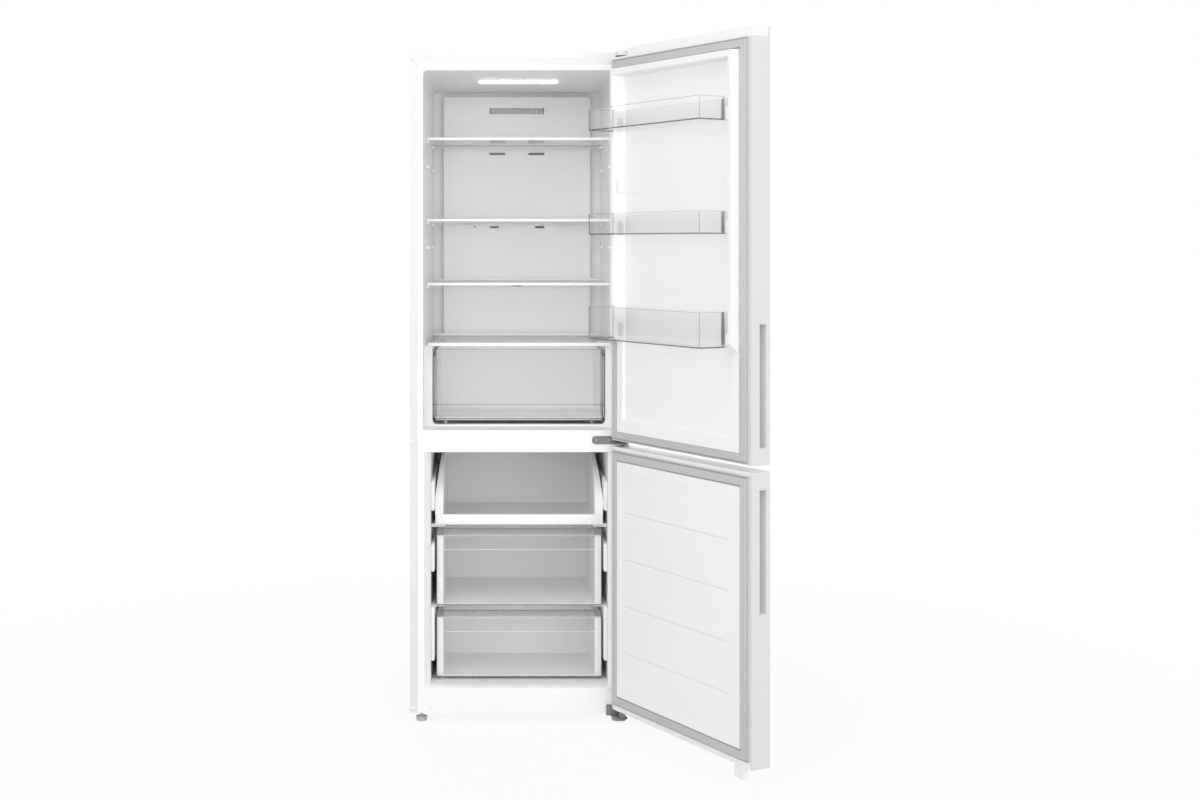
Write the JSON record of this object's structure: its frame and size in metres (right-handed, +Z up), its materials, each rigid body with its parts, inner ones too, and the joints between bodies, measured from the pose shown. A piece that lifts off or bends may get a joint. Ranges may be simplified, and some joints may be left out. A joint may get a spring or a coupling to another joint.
{
  "type": "bottom freezer refrigerator",
  "caption": "Tall white two-door refrigerator with the freezer below, both doors open, glass shelves, door bins, a crisper and freezer drawers.",
  "frame": {"origin": "on the floor, under the middle of the cabinet's front face", "axes": "+X to the right as seen from the front, +Y to the back, +Z up; the rest pose is the pictured one, with both doors open 120 degrees"},
  "size_m": [0.8923, 1.1063, 1.824],
  "materials": {
    "white_paint": "semi-gloss white powder coat",
    "white_plastic": "satin white moulding",
    "foam": "rigid insulation foam, not seen",
    "grey_gasket": "soft light grey seal",
    "grip_plastic": "fine grey grain",
    "trim_plastic": "pale satin strip",
    "clear_glass": "toughened clear sheet",
    "clear_plastic": "clear moulded styrene",
    "frosted_plastic": "milky white moulding",
    "lamp_plastic": "diffusing lamp cover",
    "hinge_steel": "dark grey coated steel",
    "hinge_cover_plastic": "grey moulded cover",
    "screw_steel": "zinc-plated",
    "grey_steel": "galvanised sheet",
    "black_paint": "gloss black",
    "black_rubber": "matt",
    "black_plastic": "matt",
    "copper_tube": "drawn tube, not seen",
    "bare_aluminium": "mill finish, not seen",
    "foot_plastic": "mid grey"
  },
  "bodies": {
    "cabinet": {"outer_shell": "white_paint", "cabinet_foam": "foam", "rear_panel": "grey_steel", "fridge_liner": "white_plastic", "freezer_liner": "white_plastic", "mid_beam": "white_plastic", "kick_rail": "white_plastic", "bottom_plate": "grey_steel", "compressor_base": "grey_steel", "compressor": "black_paint", "compressor_mounts": "black_rubber", "drip_tray": "black_plastic", "condenser_coil": "copper_tube", "evaporator": "bare_aluminium", "freezer_back_cover": "white_plastic", "fan_motor": "black_plastic", "air_duct_panel": "white_plastic", "damper_housing": "white_plastic", "light_bar": "lamp_plastic", "crisper_cover_glass": "clear_glass", "crisper_cover_trim": "trim_plastic", "top_hinge": "hinge_steel", "top_hinge_cover": "hinge_cover_plastic", "hinge_hole_covers": "hinge_cover_plastic", "middle_hinge": "hinge_steel", "bottom_hinge": "hinge_steel", "hinge_screws": "screw_steel", "machine_room_cover": "grey_steel"},
    "fridge_door": {"fridge_door_skin": "white_paint", "fridge_door_foam": "foam", "fridge_door_liner": "white_plastic", "fridge_door_gasket": "grey_gasket", "fridge_door_caps": "white_plastic", "fridge_door_grip": "grip_plastic"},
    "upper_bin": {"upper_bin": "clear_plastic"},
    "middle_bin": {"middle_bin": "clear_plastic"},
    "lower_bin": {"lower_bin": "clear_plastic"},
    "freezer_door": {"freezer_door_skin": "white_paint", "freezer_door_foam": "foam", "freezer_door_liner": "white_plastic", "freezer_door_gasket": "grey_gasket", "freezer_door_caps": "white_plastic", "freezer_door_grip": "grip_plastic"},
    "upper_shelf": {"upper_shelf_glass": "clear_glass", "upper_shelf_trim": "trim_plastic"},
    "middle_shelf": {"middle_shelf_glass": "clear_glass", "middle_shelf_trim": "trim_plastic"},
    "lower_shelf": {"lower_shelf_glass": "clear_glass", "lower_shelf_trim": "trim_plastic"},
    "crisper_drawer": {"crisper_drawer": "clear_plastic"},
    "freezer_basket": {"freezer_basket": "frosted_plastic"},
    "middle_drawer": {"middle_drawer_tub": "frosted_plastic", "middle_drawer_front": "clear_plastic"},
    "bottom_drawer": {"bottom_drawer_tub": "frosted_plastic", "bottom_drawer_front": "clear_plastic"},
    "front_foot_left": {"front_foot_left": "foot_plastic"},
    "front_foot_right": {"front_foot_right": "foot_plastic"},
    "rear_rollers": {"rear_rollers": "foot_plastic"},
    "fan_blade": {"fan_blade": "black_plastic"},
    "damper_flap": {"damper_flap": "white_plastic"}
  },
  "joints": [
    {"name": "fridge_door_hinge", "type": "hinge", "parent": "cabinet", "child": "fridge_door", "pos_m": [0.2775, -0.0315, 1.3], "axis": [0, 0, 1], "range_deg": [-120, 0]},
    {"name": "freezer_door_hinge", "type": "hinge", "parent": "cabinet", "child": "freezer_door", "pos_m": [0.2775, -0.0315, 0.4], "axis": [0, 0, 1], "range_deg": [-120, 0]},
    {"name": "upper_shelf_slide", "type": "slide", "parent": "cabinet", "child": "upper_shelf", "axis": [0, -1, 0], "range_m": [0, 0.09]},
    {"name": "middle_shelf_slide", "type": "slide", "parent": "cabinet", "child": "middle_shelf", "axis": [0, -1, 0], "range_m": [0, 0.09]},
    {"name": "lower_shelf_slide", "type": "slide", "parent": "cabinet", "child": "lower_shelf", "axis": [0, -1, 0], "range_m": [0, 0.09]},
    {"name": "crisper_slide", "type": "slide", "parent": "cabinet", "child": "crisper_drawer", "axis": [0, -1, 0], "range_m": [0, 0.3]},
    {"name": "freezer_basket_slide", "type": "slide", "parent": "cabinet", "child": "freezer_basket", "axis": [0, -1, 0], "range_m": [0, 0.3]},
    {"name": "middle_drawer_slide", "type": "slide", "parent": "cabinet", "child": "middle_drawer", "axis": [0, -1, 0], "range_m": [0, 0.3]},
    {"name": "bottom_drawer_slide", "type": "slide", "parent": "cabinet", "child": "bottom_drawer", "axis": [0, -1, 0], "range_m": [0, 0.22]},
    {"name": "upper_bin_lift", "type": "slide", "parent": "fridge_door", "child": "upper_bin", "axis": [0, 0, 1], "range_m": [0, 0.03]},
    {"name": "middle_bin_lift", "type": "slide", "parent": "fridge_door", "child": "middle_bin", "axis": [0, 0, 1], "range_m": [0, 0.03]},
    {"name": "lower_bin_lift", "type": "slide", "parent": "fridge_door", "child": "lower_bin", "axis": [0, 0, 1], "range_m": [0, 0.03]},
    {"name": "left_foot_turn", "type": "hinge", "parent": "cabinet", "child": "front_foot_left", "pos_m": [-0.2665, 0.018, 0.006], "axis": [0, 0, 1], "continuous": true},
    {"name": "right_foot_turn", "type": "hinge", "parent": "cabinet", "child": "front_foot_right", "pos_m": [0.2665, 0.018, 0.006], "axis": [0, 0, 1], "continuous": true},
    {"name": "rollers_turn", "type": "hinge", "parent": "cabinet", "child": "rear_rollers", "pos_m": [0, 0.53, 0.017], "axis": [1, 0, 0], "continuous": true},
    {"name": "fan_spin", "type": "hinge", "parent": "cabinet", "child": "fan_blade", "pos_m": [0, 0.4515, 0.636], "axis": [0, 1, 0], "continuous": true},
    {"name": "damper_flap_hinge", "type": "hinge", "parent": "cabinet", "child": "damper_flap", "pos_m": [0, 0.469, 0.77645], "axis": [1, 0, 0], "range_deg": [0, 90]}
  ]
}
